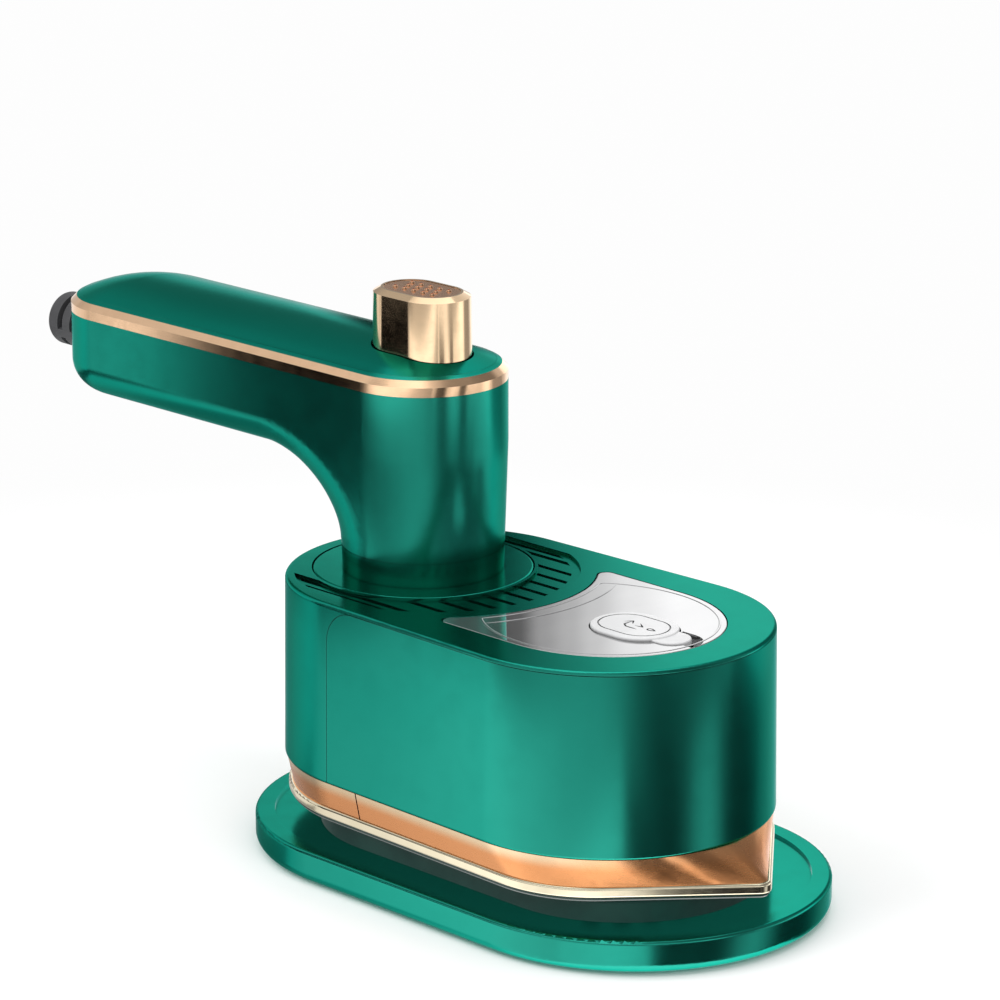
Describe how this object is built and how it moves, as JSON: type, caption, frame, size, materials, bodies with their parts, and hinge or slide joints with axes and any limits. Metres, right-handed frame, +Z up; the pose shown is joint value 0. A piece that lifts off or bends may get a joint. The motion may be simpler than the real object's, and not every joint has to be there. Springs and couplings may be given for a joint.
{
  "type": "handheld steam iron with tray",
  "caption": "Compact handheld steam iron: oval green body on a pointed metal-edged sole, swivelling horizontal handle with a push-button steam pump, and the rest tray it lifts off.",
  "frame": {"origin": "on the swivel axis of the handle, in the plane the tray feet stand on", "axes": "+Z up, +X toward the pointed tip of the sole, +Y to the left of the iron seen from behind"},
  "size_m": [0.2375, 0.089, 0.1294],
  "materials": {
    "green_body": "satin green",
    "copper": "satin metallised copper",
    "pale_gold": "polished pale gold",
    "rose_gold": "polished rose gold",
    "lens": "clear tinted",
    "silicone_white": "matte silicone",
    "silicone_green": "matte silicone",
    "rubber_black": "matte",
    "coated_sole": "ceramic coated",
    "cast_aluminium": "cast",
    "steel": "brushed",
    "brass": "machined",
    "tank_plastic": "translucent",
    "inner_plastic": "moulded",
    "heat_plastic": "glass-filled",
    "hose_silicone": "silicone tube",
    "cable": "cable jacket",
    "wire": "insulated lead"
  },
  "bodies": {
    "tray": {"tray_base": "green_body", "tray_feet": "rubber_black", "tray_rest_pad": "silicone_green"},
    "iron": {"soleplate": "coated_sole", "sole_trim_lip": "pale_gold", "skirt_front": "copper", "skirt_rear": "copper", "heating_element": "steel", "chamber_gasket": "silicone_white", "steam_chamber_cover": "cast_aluminium", "steam_inlet_nozzle": "brass", "thermostat": "steel", "thermal_fuse": "brass", "sole_standoffs": "steel", "heat_shield": "heat_plastic", "sole_screws": "steel", "shield_screws": "steel", "front_wrap_panel": "green_body", "main_housing": "green_body", "window_lens": "lens", "water_tank": "tank_plastic", "rotary_water_joint": "inner_plastic", "tank_hose": "hose_silicone", "steam_feed_hose": "hose_silicone", "body_leads": "wire"},
    "plug": {"filler_plug": "silicone_white"},
    "handle": {"swivel_disc": "green_body", "swivel_retainer": "inner_plastic", "retainer_screws": "steel", "neck_screws": "steel", "handle_shell": "green_body", "trim_band": "rose_gold", "top_cover": "green_body", "handle_screws": "steel", "button_guide": "inner_plastic", "pump_cylinder": "inner_plastic", "pump_valve": "inner_plastic", "terminal_block": "inner_plastic", "supply_leads": "wire", "swivel_leads": "wire", "cord_clamp": "inner_plastic", "clamp_screws": "steel", "strain_relief_boot": "rubber_black", "power_cord": "cable"},
    "button": {"steam_button": "rose_gold", "button_inlay": "rose_gold", "pump_rod": "steel", "pump_piston": "inner_plastic", "piston_o_ring": "rubber_black", "pump_spring": "steel"}
  },
  "joints": [
    {"name": "iron_lift", "type": "slide", "parent": "tray", "child": "iron", "axis": [0, 0, 1], "range_m": [0, 0.08]},
    {"name": "handle_swivel", "type": "hinge", "parent": "iron", "child": "handle", "pos_m": [0, 0, 0.064], "axis": [0, 0, 1], "range_deg": [0, 180]},
    {"name": "steam_button_press", "type": "slide", "parent": "handle", "child": "button", "axis": [0, 0, -1], "range_m": [0, 0.008], "stiffness_N_per_m": 600, "springref_m": -0.002, "deforming": ["pump_spring"]},
    {"name": "filler_plug_open", "type": "hinge", "parent": "iron", "child": "plug", "pos_m": [0.057, 0, 0.0646], "axis": [0, -1, 0], "range_deg": [0, 60]}
  ]
}
